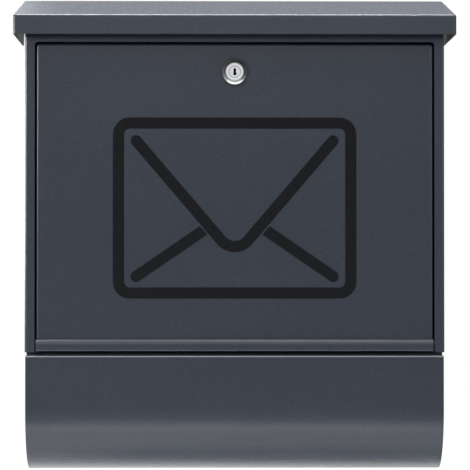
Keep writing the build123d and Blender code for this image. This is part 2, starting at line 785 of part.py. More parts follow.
with BuildPart() as holder_washers:
    with BuildSketch(Plane.XY.offset(bolt_washer_z)):
        with Locations((0, bolt_y)):
            with GridLocations(bolt_pitch, 1, bolt_count, 1):
                Circle(bolt_washer_diameter / 2)
                Circle(bolt_diameter / 2 + bolt_hole_gap, mode=Mode.SUBTRACT)
    extrude(amount=bolt_washer_thickness)
holder_washers.part.label = "holder_washers"
export_step(holder_washers.part, "parts/holder_washers.step")

with BuildPart() as holder_nuts:
    with BuildSketch(Plane.XY.offset(bolt_nut_z)):
        with Locations((0, bolt_y)):
            with GridLocations(bolt_pitch, 1, bolt_count, 1):
                RegularPolygon(bolt_nut_flats / 2, 6, major_radius=False)
                Circle(bolt_diameter / 2 + fit_clearance, mode=Mode.SUBTRACT)
    extrude(amount=bolt_nut_height)
holder_nuts.part.label = "holder_nuts"
export_step(holder_nuts.part, "parts/holder_nuts.step")
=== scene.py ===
"""Looks of a wall mounted mailbox: finishes, small fittings, studio and camera."""

import logging
from dataclasses import dataclass, field
from enum import Enum
from functools import cache
from math import cos, pi, radians, sin, tan
from typing import Any, Protocol

import bmesh
import bpy
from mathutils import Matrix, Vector


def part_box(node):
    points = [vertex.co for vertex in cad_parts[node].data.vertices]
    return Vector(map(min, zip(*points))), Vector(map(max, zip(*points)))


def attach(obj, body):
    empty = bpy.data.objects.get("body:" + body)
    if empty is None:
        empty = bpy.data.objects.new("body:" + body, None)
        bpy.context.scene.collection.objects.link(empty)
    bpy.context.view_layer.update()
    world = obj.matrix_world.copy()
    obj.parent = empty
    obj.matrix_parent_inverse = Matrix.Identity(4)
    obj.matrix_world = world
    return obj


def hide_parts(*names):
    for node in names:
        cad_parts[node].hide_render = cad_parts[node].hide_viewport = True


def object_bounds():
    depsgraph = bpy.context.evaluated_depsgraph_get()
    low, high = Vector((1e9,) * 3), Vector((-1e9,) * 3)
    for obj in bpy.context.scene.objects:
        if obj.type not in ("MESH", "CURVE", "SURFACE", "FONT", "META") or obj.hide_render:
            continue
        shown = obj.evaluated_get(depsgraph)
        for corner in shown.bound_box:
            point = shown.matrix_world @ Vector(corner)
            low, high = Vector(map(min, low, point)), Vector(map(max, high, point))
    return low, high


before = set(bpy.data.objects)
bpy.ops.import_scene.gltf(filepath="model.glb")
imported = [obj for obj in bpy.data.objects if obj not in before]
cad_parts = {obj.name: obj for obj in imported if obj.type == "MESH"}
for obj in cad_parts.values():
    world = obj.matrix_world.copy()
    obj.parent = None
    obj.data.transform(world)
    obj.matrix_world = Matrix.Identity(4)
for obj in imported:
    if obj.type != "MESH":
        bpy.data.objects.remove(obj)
CAD_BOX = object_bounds()

LOG = logging.getLogger("mailbox")
MM = 0.001


class Body(Enum):
    """The rigid bodies that pieces ride on."""

    CABINET = "cabinet"
    LID = "lid"
    DOOR = "door"
    LOCK_CORE = "lock_core"


def linear(hex_colour: str) -> tuple[float, float, float, float]:
    """Turn an sRGB hex colour into linear light.

    Args:
        hex_colour: Colour as "#RRGGBB".

    Returns:
        Red, green, blue and a full alpha.
    """
    shares = [int(hex_colour[at : at + 2], 16) / 255 for at in (1, 3, 5)]
    light = [share / 12.92 if share <= 0.04045 else ((share + 0.055) / 1.055) ** 2.4 for share in shares]
    return (light[0], light[1], light[2], 1.0)


def add_node(
    tree: bpy.types.NodeTree, kind: str, inputs: dict[Any, Any] | None = None, **settings: Any
) -> bpy.types.Node:
    """Add a node with its settings, values and links.

    Args:
        tree: Node tree that takes the node.
        kind: Blender's type name of the node.
        inputs: Values or output sockets by the name or number of the input.
        settings: Properties of the node.

    Returns:
        The new node.
    """
    node = tree.nodes.new(kind)
    for name, value in settings.items():
        setattr(node, name, value)
    for name, value in (inputs or {}).items():
        if isinstance(value, bpy.types.NodeSocket):
            tree.links.new(value, node.inputs[name])
        else:
            node.inputs[name].default_value = value
    return node


def new_material(name: str) -> tuple[bpy.types.Material, bpy.types.NodeTree]:
    """Make an empty node material.

    Args:
        name: Name of the material.

    Returns:
        The material and its cleared node tree.
    """
    material = bpy.data.materials.new(name)
    material.use_nodes = True
    material.node_tree.nodes.clear()
    return material, material.node_tree


class Finish(Protocol):
    """What every finish offers."""

    name: str

    def build(self) -> bpy.types.Material:
        """Make the material."""


@dataclass(frozen=True)
class PowderCoat:
    """Baked polyester powder on sheet steel: a satin skin with a fine pimple and faint clouds.

    The grain of a real fine-texture powder is about 0.4 mm; it is drawn coarser so that it shows.
    """

    name: str = "powder_coat_anthracite"
    colour: str = "#3A3F49"
    dark: str = "#383D47"
    light: str = "#3E434D"
    grain_mm: float = 1.6
    cloud_mm: float = 70.0
    cloud_share: float = 0.25
    tint_stops: tuple[float, float, float] = (0.42, 0.62, 0.82)
    roughness: float = 0.26
    gloss_spread: float = 0.02
    bump_mm: float = 0.006
    bump_strength: float = 0.3
    ior: float = 1.5

    def build(self) -> bpy.types.Material:
        """Make the material."""
        material, tree = new_material(self.name)
        place = add_node(tree, "ShaderNodeTexCoord").outputs["Object"]
        grain = add_node(
            tree,
            "ShaderNodeTexNoise",
            {"Vector": place, "Scale": 1 / (self.grain_mm * MM), "Detail": 2.0, "Roughness": 0.6},
        )
        clouds = add_node(
            tree,
            "ShaderNodeTexNoise",
            {"Vector": place, "Scale": 1 / (self.cloud_mm * MM), "Detail": 1.0},
        )
        mixed = add_node(
            tree,
            "ShaderNodeMath",
            {0: clouds.outputs["Fac"], 1: self.cloud_share, 2: grain.outputs["Fac"]},
            operation="MULTIPLY_ADD",
        )
        tint = add_node(tree, "ShaderNodeValToRGB", {"Fac": mixed.outputs[0]})
        ramp = tint.color_ramp.elements
        dark_at, middle_at, light_at = self.tint_stops
        ramp[0].position, ramp[0].color = dark_at, linear(self.dark)
        ramp[1].position, ramp[1].color = light_at, linear(self.light)
        ramp.new(middle_at).color = linear(self.colour)
        gloss = add_node(
            tree,
            "ShaderNodeMapRange",
            {
                "Value": grain.outputs["Fac"],
                "To Min": self.roughness - self.gloss_spread,
                "To Max": self.roughness + self.gloss_spread,
            },
        )
        bump = add_node(
            tree,
            "ShaderNodeBump",
            {
                "Height": grain.outputs["Fac"],
                "Strength": self.bump_strength,
                "Distance": self.bump_mm * MM,
            },
        )
        skin = add_node(
            tree,
            "ShaderNodeBsdfPrincipled",
            {
                "Base Color": self.paint_highlight(tree, place, tint.outputs["Color"]),
                "Roughness": gloss.outputs["Result"],
                "Normal": bump.outputs["Normal"],
                "IOR": self.ior,
            },
        )
        add_node(tree, "ShaderNodeOutputMaterial", {"Surface": skin.outputs["BSDF"]})
        return material

    def paint_highlight(
        self, tree: bpy.types.NodeTree, place: bpy.types.NodeSocket, colour: bpy.types.NodeSocket
    ) -> bpy.types.NodeSocket:
        """Paint a highlight into the coat's colour by place; the plain coat has none."""
        return colour


@dataclass(frozen=True)
class PaintedHighlightCoat(PowderCoat):
    """The same powder on the newspaper holder, with a thin pale painted highlight along its front edge.

    The painted highlight goes down from its top, on what lies before its front, in millimetres.
    """

    name: str = "powder_coat_painted_highlight"
    # Colour of the painted highlight, then its top, width, front limit and fade in millimetres
    highlight_colour: str = "#8B8D91"
    highlight_top: float = -152.9
    highlight_width: float = 1.0
    highlight_front: float = -106.2
    highlight_fade: float = 0.3

    def paint_highlight(
        self, tree: bpy.types.NodeTree, place: bpy.types.NodeSocket, colour: bpy.types.NodeSocket
    ) -> bpy.types.NodeSocket:
        """Paint a thin pale highlight along the front edge.

        Args:
            tree: Tree of the material.
            place: Object coordinates.
            colour: Colour of the coat.

        Returns:
            Colour with the painted highlight laid over it.
        """
        # The pale band is a painted highlight along the top of the front edge
        at = add_node(tree, "ShaderNodeSeparateXYZ", {0: place})
        line = None
        for axis, start, end in (
            ("Z", self.highlight_top, self.highlight_top - self.highlight_fade),
            ("Z", self.highlight_top - self.highlight_width - self.highlight_fade, self.highlight_top - self.highlight_width),
            ("Y", self.highlight_front, self.highlight_front - self.highlight_fade),
        ):
            inside = add_node(
                tree,
                "ShaderNodeMapRange",
                {"Value": at.outputs[axis], "From Min": start * MM, "From Max": end * MM},
            ).outputs["Result"]
            if line:
                both = add_node(tree, "ShaderNodeMath", {0: line, 1: inside}, operation="MINIMUM")
                inside = both.outputs[0]
            line = inside
        mixed = add_node(
            tree,
            "ShaderNodeMix",
            {0: line, 6: colour, 7: linear(self.highlight_colour)},
            data_type="RGBA",
        )
        return mixed.outputs[2]


@dataclass(frozen=True)
class PrintedFilm:
    """Matt black ink film laid on the coat: darker and flatter, with a little of the coat's grain."""

    name: str = "printed_film_black"
    colour: str = "#151619"
    light: str = "#1B1C20"
    grain_mm: float = 1.6
    tint_stops: tuple[float, float] = (0.35, 0.75)
    roughness: float = 0.6
    specular: float = 0.1
    bump_mm: float = 0.015
    bump_strength: float = 0.4

    def build(self) -> bpy.types.Material:
        """Make the material."""
        material, tree = new_material(self.name)
        place = add_node(tree, "ShaderNodeTexCoord").outputs["Object"]
        grain = add_node(
            tree,
            "ShaderNodeTexNoise",
            {"Vector": place, "Scale": 1 / (self.grain_mm * MM), "Detail": 2.0},
        )
        tint = add_node(tree, "ShaderNodeValToRGB", {"Fac": grain.outputs["Fac"]})
        ramp = tint.color_ramp.elements
        for stop, place_on, shade in zip(ramp, self.tint_stops, (self.colour, self.light)):
            stop.position, stop.color = place_on, linear(shade)
        bump = add_node(
            tree,
            "ShaderNodeBump",
            {
                "Height": grain.outputs["Fac"],
                "Strength": self.bump_strength,
                "Distance": self.bump_mm * MM,
            },
        )
        ink = add_node(
            tree,
            "ShaderNodeBsdfPrincipled",
            {
                "Base Color": tint.outputs["Color"],
                "Roughness": self.roughness,
                "Normal": bump.outputs["Normal"],
                "Specular IOR Level": self.specular,
            },
        )
        add_node(tree, "ShaderNodeOutputMaterial", {"Surface": ink.outputs["BSDF"]})
        return material


@dataclass(frozen=True)
class PlatedMetal:
    """A plated metal: colour, gloss and how strongly its streaks or spangles show."""

    name: str
    colour: str
    light: str
    roughness: float
    spread: float
    grain_mm: float
    stretch: tuple[float, float, float] = (1.0, 1.0, 1.0)
    tint_stops: tuple[float, float] = (0.3, 0.7)
    least_roughness: float = 0.02
    bump_mm: float = 0.004
    bump_strength: float = 0.3

    def build(self) -> bpy.types.Material:
        """Make the material."""
        material, tree = new_material(self.name)
        place = add_node(tree, "ShaderNodeTexCoord").outputs["Object"]
        drawn = add_node(tree, "ShaderNodeMapping", {"Vector": place, "Scale": self.stretch})
        grain = add_node(
            tree,
            "ShaderNodeTexNoise",
            {
                "Vector": drawn.outputs["Vector"],
                "Scale": 1 / (self.grain_mm * MM),
                "Detail": 3.0,
            },
        )
        tint = add_node(tree, "ShaderNodeValToRGB", {"Fac": grain.outputs["Fac"]})
        ramp = tint.color_ramp.elements
        for stop, place_on, shade in zip(ramp, self.tint_stops, (self.colour, self.light)):
            stop.position, stop.color = place_on, linear(shade)
        gloss = add_node(
            tree,
            "ShaderNodeMapRange",
            {
                "Value": grain.outputs["Fac"],
                "To Min": max(self.roughness - self.spread, self.least_roughness),
                "To Max": self.roughness + self.spread,
            },
        )
        bump = add_node(
            tree,
            "ShaderNodeBump",
            {
                "Height": grain.outputs["Fac"],
                "Strength": self.bump_strength,
                "Distance": self.bump_mm * MM,
            },
        )
        metal = add_node(
            tree,
            "ShaderNodeBsdfPrincipled",
            {
                "Base Color": tint.outputs["Color"],
                "Metallic": 1.0,
                "Roughness": gloss.outputs["Result"],
                "Normal": bump.outputs["Normal"],
            },
        )
        add_node(tree, "ShaderNodeOutputMaterial", {"Surface": metal.outputs["BSDF"]})
        return material


@dataclass(frozen=True)
class LockPlating:
    """Plating on a turned lock part: a finely turned face, a smooth flank, and painted shade in slots and
    gaps.

    Sizes are in millimetres. The face fades into the flank between two depths behind it, and the painted
    shade begins at a share of its full depth.
    """

    name: str
    colour: str
    face_y: float
    flank_roughness: float
    face_roughness: float
    # Colour of the painted shade, how deep it reaches, and its ring round the rim
    painted_shade_colour: str
    painted_shade_depth: float
    rim_radius: float
    rim_width: float
    rim_painted_shade: float
    centre_z: float = 90.5
    face_fade: tuple[float, float] = (0.3, 0.15)
    painted_shade_start: float = 0.4
    groove_mm: float = 0.5
    bump_mm: float = 0.01
    bump_strength: float = 0.15

    def build(self) -> bpy.types.Material:
        """Make the material."""
        material, tree = new_material(self.name)
        place = add_node(tree, "ShaderNodeTexCoord").outputs["Object"]
        depth = add_node(tree, "ShaderNodeSeparateXYZ", {0: place}).outputs["Y"]
        on_face = add_node(
            tree,
            "ShaderNodeMapRange",
            {
                "Value": depth,
                "From Min": (self.face_y + self.face_fade[0]) * MM,
                "From Max": (self.face_y + self.face_fade[1]) * MM,
            },
        )
        # Painted shade: darker the deeper a point lies behind the face
        deep_shade_mask = add_node(
            tree,
            "ShaderNodeMapRange",
            {
                "Value": depth,
                "From Min": (self.face_y + self.painted_shade_start * self.painted_shade_depth) * MM,
                "From Max": (self.face_y + self.painted_shade_depth) * MM,
            },
        )
        gloss = add_node(
            tree,
            "ShaderNodeMapRange",
            {
                "Value": on_face.outputs["Result"],
                "To Min": self.flank_roughness,
                "To Max": self.face_roughness,
            },
        )
        centred = add_node(
            tree,
            "ShaderNodeMapping",
            {"Vector": place, "Location": (0, 0, -self.centre_z * MM)},
        )
        # At scale 1 the waves are pi / 10 apart
        grooves = add_node(
            tree,
            "ShaderNodeTexWave",
            {
                "Vector": centred.outputs["Vector"],
                "Scale": pi / (10 * self.groove_mm * MM),
                "Distortion": 0.0,
            },
            wave_type="RINGS",
            rings_direction="Y",
        )
        bump = add_node(
            tree,
            "ShaderNodeBump",
            {
                "Height": grooves.outputs["Fac"],
                "Strength": self.bump_strength,
                "Distance": self.bump_mm * MM,
            },
        )
        flat = add_node(
            tree,
            "ShaderNodeMapping",
            {"Vector": centred.outputs["Vector"], "Scale": (1, 0, 1)},
        )
        reach = add_node(tree, "ShaderNodeVectorMath", {0: flat.outputs["Vector"]}, operation="LENGTH")
        # Painted shade ring at a radius round the lock's axis
        from_rim = add_node(
            tree,
            "ShaderNodeMath",
            {0: reach.outputs["Value"], 1: self.rim_radius * MM},
            operation="SUBTRACT",
        )
        off_rim = add_node(tree, "ShaderNodeMath", {0: from_rim.outputs[0]}, operation="ABSOLUTE")
        rim_shade_mask = add_node(
            tree,
            "ShaderNodeMapRange",
            {
                "Value": off_rim.outputs[0],
                "From Min": self.rim_width * MM,
                "From Max": 0.0,
                "To Max": self.rim_painted_shade,
            },
        )
        shade_mask = add_node(
            tree,
            "ShaderNodeMath",
            {0: deep_shade_mask.outputs["Result"], 1: rim_shade_mask.outputs["Result"]},
            operation="MAXIMUM",
        )
        # Mix the painted shade colour in where either mask asks for it
        tint = add_node(
            tree,
            "ShaderNodeMix",
            {0: shade_mask.outputs[0], 6: linear(self.colour), 7: linear(self.painted_shade_colour)},
            data_type="RGBA",
        )
        metal = add_node(
            tree,
            "ShaderNodeBsdfPrincipled",
            {
                "Base Color": tint.outputs[2],
                "Metallic": 1.0,
                "Roughness": gloss.outputs["Result"],
                "Normal": bump.outputs["Normal"],
            },
        )
        add_node(tree, "ShaderNodeOutputMaterial", {"Surface": metal.outputs["BSDF"]})
        return material


@dataclass(frozen=True)
class MouldedPolymer:
    """A moulded polymer such as nylon or rubber: dull, with a fine mould grain."""

    name: str
    colour: str
    light: str
    roughness: float
    grain_mm: float = 0.7
    bump_mm: float = 0.02
    bump_strength: float = 0.4

    def build(self) -> bpy.types.Material:
        """Make the material."""
        material, tree = new_material(self.name)
        place = add_node(tree, "ShaderNodeTexCoord").outputs["Object"]
        grain = add_node(
            tree,
            "ShaderNodeTexVoronoi",
            {"Vector": place, "Scale": 1 / (self.grain_mm * MM)},
        )
        tint = add_node(tree, "ShaderNodeValToRGB", {"Fac": grain.outputs["Distance"]})
        ramp = tint.color_ramp.elements
        ramp[0].color = linear(self.colour)
        ramp[1].color = linear(self.light)
        bump = add_node(
            tree,
            "ShaderNodeBump",
            {
                "Height": grain.outputs["Distance"],
                "Strength": self.bump_strength,
                "Distance": self.bump_mm * MM,
            },
        )
        body = add_node(
            tree,
            "ShaderNodeBsdfPrincipled",
            {
                "Base Color": tint.outputs["Color"],
                "Roughness": self.roughness,
                "Normal": bump.outputs["Normal"],
            },
        )
        add_node(tree, "ShaderNodeOutputMaterial", {"Surface": body.outputs["BSDF"]})
        return material


# Finishes of this mailbox. Colours are those of the real materials in plain light, except the painted
# highlight and painted shade marked below.
COAT = PowderCoat()
# Coat of the newspaper holder, with a painted highlight along its front edge
PAINTED_HIGHLIGHT_COAT = PaintedHighlightCoat()
FILM = PrintedFilm()
# Chrome on the lock's bezel: a glossy flank, a turned face that scatters light to a soft white, a ring of
# painted shade round the face's edge and painted shade deep behind the door
CHROME = LockPlating(
    name="chrome_turned",
    colour="#F4F5F7",
    face_y=-108.5,
    flank_roughness=0.28,
    face_roughness=0.6,
    painted_shade_colour="#41454E",
    painted_shade_depth=30.0,
    rim_radius=8.2,
    rim_width=1.6,
    rim_painted_shade=0.8,
)
# Satin nickel on the plug: paler than steel, with painted black shade down in the keyway and a ring of
# painted shade round its rim
NICKEL = LockPlating(
    name="nickel_satin",
    colour="#ECEDEF",
    face_y=-108.2,
    flank_roughness=0.3,
    face_roughness=0.6,
    painted_shade_colour="#050505",
    painted_shade_depth=0.9,
    rim_radius=5.2,
    rim_width=0.7,
    rim_painted_shade=0.85,
)
# Bright zinc on steel fittings: a cool grey with small spangles
ZINC = PlatedMetal("zinc_plated_steel", "#A4A8AC", "#C3C6C9", 0.34, 0.08, 1.5)
# Black oxide on the hinge pins: steel with a thin, dark, oiled skin
BLACKENED = PlatedMetal("black_oxide_steel", "#1A1A1C", "#242427", 0.42, 0.06, 0.9)
# Stamped brass wafers: warm, browned with graphite, with rolling streaks
BRASS = PlatedMetal("brass_stamped", "#5A4622", "#7A6234", 0.4, 0.06, 0.6, (1.0, 1.0, 0.2))
NYLON = MouldedPolymer("nylon_black", "#151516", "#1D1D1E", 0.5)
RUBBER = MouldedPolymer("rubber_black", "#0F0F10", "#171718", 0.75)
# The lock's thin sealing ring: a dark grey elastomer with a weathered bloom
SEAL = MouldedPolymer("rubber_dark_grey", "#25262A", "#303136", 0.6)


def finished(finish: Finish) -> bpy.types.Material:
    """Look a finish's material up, or make it the first time."""
    return bpy.data.materials.get(finish.name) or finish.build()


def dress(finish: Finish, *nodes: str) -> None:
    """Give CAD nodes a finish.

    Args:
        finish: What they are coated with or made of.
        nodes: Names of the nodes.
    """
    material = finished(finish)
    for node in nodes:
        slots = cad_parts[node].data.materials
        slots.clear()
        slots.append(material)
        LOG.info("%s: %s", node, finish.name)


def new_piece(name: str, mesh: bpy.types.Mesh) -> bpy.types.Object:
    """Put a mesh into the scene as an object at the origin.

    Args:
        name: Name of the object.
        mesh: Its mesh.

    Returns:
        The new object.
    """
    piece = bpy.data.objects.new(name, mesh)
    bpy.context.scene.collection.objects.link(piece)
    return piece


class Lathe:
    """Turned shapes: rings of points round the Z axis, joined by faces."""

    def __init__(self, steps: int) -> None:
        """Start an empty shape with so many points in a ring."""
        self.steps = steps
        self.shape = bmesh.new()
        self.last: list[bmesh.types.BMVert] = []
        self.first: list[bmesh.types.BMVert] = []

    def ring(self, points: list[tuple[float, float, float]]) -> None:
        """Add a ring of points and skin it to the one before.

        Args:
            points: Places in metres, one for each step round the axis.
        """
        now = [self.shape.verts.new(point) for point in points]
        for at in range(self.steps if self.last else 0):
            after = (at + 1) % self.steps
            self.shape.faces.new((self.last[at], self.last[after], now[after], now[at]))
        self.first = self.first or now
        self.last = now

    def turn(self, radius_mm: float, height_mm: float) -> None:
        """Add a round ring of a radius at a height, in millimetres."""
        angles = [2 * pi * at / self.steps for at in range(self.steps)]
        self.ring([(radius_mm * MM * cos(a), radius_mm * MM * sin(a), height_mm * MM) for a in angles])

    def cap(self) -> None:
        """Close the first and the last ring with a flat face each."""
        self.shape.faces.new(self.first)
        self.shape.faces.new(self.last)

    def loop(self) -> None:
        """Join the last ring to the first, for a shape with a hole."""
        for at in range(self.steps):
            after = (at + 1) % self.steps
            self.shape.faces.new((self.last[at], self.last[after], self.first[after], self.first[at]))

    def mesh(self, name: str, smooth_angle: float = 35.0) -> bpy.types.Mesh:
        """Finish the shape.

        Args:
            name: Name of the mesh.
            smooth_angle: Edges that turn more than this many degrees stay sharp.

        Returns:
            A mesh whose faces point outwards.
        """
        bmesh.ops.recalc_face_normals(self.shape, faces=self.shape.faces)
        for face in self.shape.faces:
            face.smooth = True
        for edge in self.shape.edges:
            edge.smooth = edge.calc_face_angle(0.0) < radians(smooth_angle)
        made = bpy.data.meshes.new(name)
        self.shape.to_mesh(made)
        self.shape.free()
        return made


class NodeTool:
    """A Geometry Nodes tree with named inputs that is run once and baked to a plain mesh."""

    def __init__(self, name: str) -> None:
        """Make an empty tree with a geometry input and output."""
        self.tree = bpy.data.node_groups.new(name, "GeometryNodeTree")
        self.tree.interface.new_socket("Geometry", in_out="INPUT", socket_type="NodeSocketGeometry")
        self.tree.interface.new_socket("Geometry", in_out="OUTPUT", socket_type="NodeSocketGeometry")
        self.keys: dict[str, str] = {}
        self.start: bpy.types.Node | None = None

    def declare(self, **kinds: str) -> bpy.types.Node:
        """Give the tree its named inputs.

        Args:
            kinds: Socket type by input name, without the prefix that all types share.

        Returns:
            The node that offers the inputs.
        """
        for label, kind in kinds.items():
            socket = self.tree.interface.new_socket(label, in_out="INPUT", socket_type="NodeSocket" + kind)
            self.keys[label] = socket.identifier
        self.start = add_node(self.tree, "NodeGroupInput")
        return self.start

    def close(self, shape: bpy.types.NodeSocket) -> None:
        """End the tree: make instances real, lay the finish on, and hand the shape out.

        Args:
            shape: Output socket that carries the shape.
        """
        real = add_node(self.tree, "GeometryNodeRealizeInstances", {0: shape})
        coated = add_node(
            self.tree,
            "GeometryNodeSetMaterial",
            {"Geometry": real.outputs[0], "Material": self.start.outputs["Finish"]},
        )
        add_node(self.tree, "NodeGroupOutput", {0: coated.outputs[0]})

    def bake(self, name: str, **values: Any) -> bpy.types.Object:
        """Run the tree and keep its result as a plain mesh.

        Args:
            name: Name of the piece.
            values: Value of each named input.

        Returns:
            The piece, with no modifier left on it.
        """
        piece = new_piece(name, bpy.data.meshes.new(name))
        tool = piece.modifiers.new("shape", "NODES")
        tool.node_group = self.tree
        for label, value in values.items():
            tool[self.keys[label]] = value
        seen = piece.evaluated_get(bpy.context.evaluated_depsgraph_get())
        baked = bpy.data.meshes.new_from_object(seen)
        piece.modifiers.remove(tool)
        piece.data = baked
        baked.name = name
        LOG.info("%s: %d faces", name, len(baked.polygons))
        return piece


class RowTool(NodeTool):
    """Repeats one template in a straight row, each copy turned by a seeded random angle."""

    def __init__(self) -> None:
        """Build the tree."""
        super().__init__("row_of_fittings")
        given = self.declare(
            Template="Object",
            Count="Int",
            Start="Vector",
            Step="Vector",
            Tilt="Rotation",
            Spin="Float",
            Seed="Int",
            Finish="Material",
        )
        row = add_node(
            self.tree,
            "GeometryNodeMeshLine",
            {
                "Count": given.outputs["Count"],
                "Start Location": given.outputs["Start"],
                "Offset": given.outputs["Step"],
            },
        )
        template = add_node(self.tree, "GeometryNodeObjectInfo", {"Object": given.outputs["Template"]})
        spin = add_node(
            self.tree,
            "FunctionNodeRandomValue",
            {2: 0.0, 3: given.outputs["Spin"], "Seed": given.outputs["Seed"]},
            data_type="FLOAT",
        )
        about = add_node(self.tree, "ShaderNodeCombineXYZ", {"Z": spin.outputs[1]})
        own = add_node(self.tree, "FunctionNodeEulerToRotation", {0: about.outputs[0]})
        turn = add_node(
            self.tree,
            "FunctionNodeRotateRotation",
            {0: own.outputs[0], 1: given.outputs["Tilt"]},
            rotation_space="GLOBAL",
        )
        copies = add_node(
            self.tree,
            "GeometryNodeInstanceOnPoints",
            {
                "Points": row.outputs["Mesh"],
                "Instance": template.outputs["Geometry"],
                "Rotation": turn.outputs[0],
            },
        )
        self.close(copies.outputs["Instances"])


class ThreadTool(NodeTool):
    """Sweeps a V-shaped ridge along a spiral round the Y axis and presses it flat on two flanks."""

    steps_a_turn = 48
    ridge_corners = 4

    def __init__(self) -> None:
        """Build the tree."""
        super().__init__("barrel_thread")
        given = self.declare(
            Turns="Float",
            Radius="Float",
            Length="Float",
            Ridge="Float",
            Flat="Float",
            Place="Vector",
            Finish="Material",
        )
        path = add_node(
            self.tree,
            "GeometryNodeCurveSpiral",
            {
                "Resolution": self.steps_a_turn,
                "Rotations": given.outputs["Turns"],
                "Start Radius": given.outputs["Radius"],
                "End Radius": given.outputs["Radius"],
                "Height": given.outputs["Length"],
            },
        )
        ridge = add_node(
            self.tree,
            "GeometryNodeCurvePrimitiveCircle",
            {"Resolution": self.ridge_corners, "Radius": given.outputs["Ridge"]},
        )
        swept = add_node(
            self.tree,
            "GeometryNodeCurveToMesh",
            {"Curve": path.outputs[0], "Profile Curve": ridge.outputs[0], "Fill Caps": True},
        )
        position = add_node(self.tree, "GeometryNodeInputPosition")
        at = add_node(self.tree, "ShaderNodeSeparateXYZ", {0: position.outputs[0]})
        low = add_node(
            self.tree,
            "ShaderNodeMath",
            {0: 0.0, 1: given.outputs["Flat"]},
            operation="SUBTRACT",
        )
        held = add_node(
            self.tree,
            "ShaderNodeClamp",
            {"Value": at.outputs["X"], "Min": low.outputs[0], "Max": given.outputs["Flat"]},
        )
        pressed = add_node(
            self.tree,
            "ShaderNodeCombineXYZ",
            {"X": held.outputs[0], "Y": at.outputs["Y"], "Z": at.outputs["Z"]},
        )
        flat = add_node(
            self.tree,
            "GeometryNodeSetPosition",
            {"Geometry": swept.outputs[0], "Position": pressed.outputs[0]},
        )
        placed = add_node(
            self.tree,
            "GeometryNodeTransform",
            {
                "Geometry": flat.outputs[0],
                "Translation": given.outputs["Place"],
                "Rotation": (radians(-90), 0.0, 0.0),
            },
        )
        self.close(placed.outputs[0])


@cache
def row_tool() -> RowTool:
    """Make the tree for rows once."""
    return RowTool()


def fit_row(
    mesh: bpy.types.Mesh, name: str, finish: Finish, body: Body, slot: str, **values: Any
) -> bpy.types.Object:
    """Bake a row of copies of a mesh and let it ride on a body.

    Args:
        mesh: Template of one copy, at the origin and pointing along Z.
        name: Name of the piece.
        finish: What it is made of or coated with.
        body: Body that carries it.
        slot: Slot in the record that its finish belongs to; not used.
        values: Count, start, step, tilt, spin and seed of the row.

    Returns:
        The piece.
    """
    template = new_piece(name + "_template", mesh)
    piece = row_tool().bake(name, Template=template, Finish=finished(finish), **values)
    bpy.data.objects.remove(template)
    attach(piece, body.value)
    return piece


@dataclass
class Cabinet:
    """The fixed box on the wall: panels, floor, rail, buffers, pivots and hinge pins."""

    panels: tuple[str, ...] = (
        "side_panel_left",
        "side_panel_right",
        "back_panel",
        "floor_tray",
        "top_rail",
    )
    sheet: float = 1.0
    weld_radius: float = 2.5
    # Inset from the edge and height of each ring of a mark
    weld_rings: tuple[tuple[float, float], ...] = (
        (0.0, -0.2),
        (0.0, 0.0),
        (0.35, 0.12),
        (0.8, 0.12),
        (1.3, 0.036),
    )
    weld_steps: int = 24
    weld_drop: float = 3.4
    weld_inset_y: float = -14.0
    weld_pitch_y: float = -16.0
    weld_count: int = 5
    weld_seed: int = 3

    def build(self) -> None:
        """Dress the cabinet and add its weld marks."""
        self.mark_welds()
        dress(COAT, *self.panels)
        dress(RUBBER, "lid_buffers", "door_buffers")
        dress(ZINC, "lid_pivot_rivets")
        dress(BLACKENED, "door_hinge_pins")
        dress(NYLON, "lid_pivot_spacers")

    def weld_mark(self) -> bpy.types.Mesh:
        """Turn one spot weld's mark under the coat: a flat button with a raised rim."""
        mark = Lathe(self.weld_steps)
        for inset, height in self.weld_rings:
            mark.turn(self.weld_radius - inset, height)
        mark.cap()
        return mark.mesh("weld_mark")

    def mark_welds(self) -> None:
        """Set the marks along the floor's up-turned flanges, inside the box."""
        for side, label in ((-1, "left"), (1, "right")):
            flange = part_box("floor_tray")[0 if side < 0 else 1]
            inner_x = flange.x - side * self.sheet * MM
            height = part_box("floor_tray")[1].z - self.weld_drop * MM
            fit_row(
                self.weld_mark(),
                f"floor_welds_{label}",
                COAT,
                Body.CABINET,
                "anthracite_steel",
                Count=self.weld_count,
                Start=(inner_x, self.weld_inset_y * MM, height),
                Step=(0.0, self.weld_pitch_y * MM, 0.0),
                Tilt=(0.0, radians(-90 * side), 0.0),
                Spin=2 * pi,
                Seed=self.weld_seed,
            )


@dataclass
class Lid:
    """The hinged roof."""

    def build(self) -> None:
        """Dress the lid."""
        dress(COAT, "lid_panel")


@dataclass
class Door:
    """The drop-down door with its emblem."""

    def build(self) -> None:
        """Dress the door."""
        dress(COAT, "door_panel")
        dress(FILM, "envelope_emblem")
        dress(NYLON, "door_hinge_bushes")


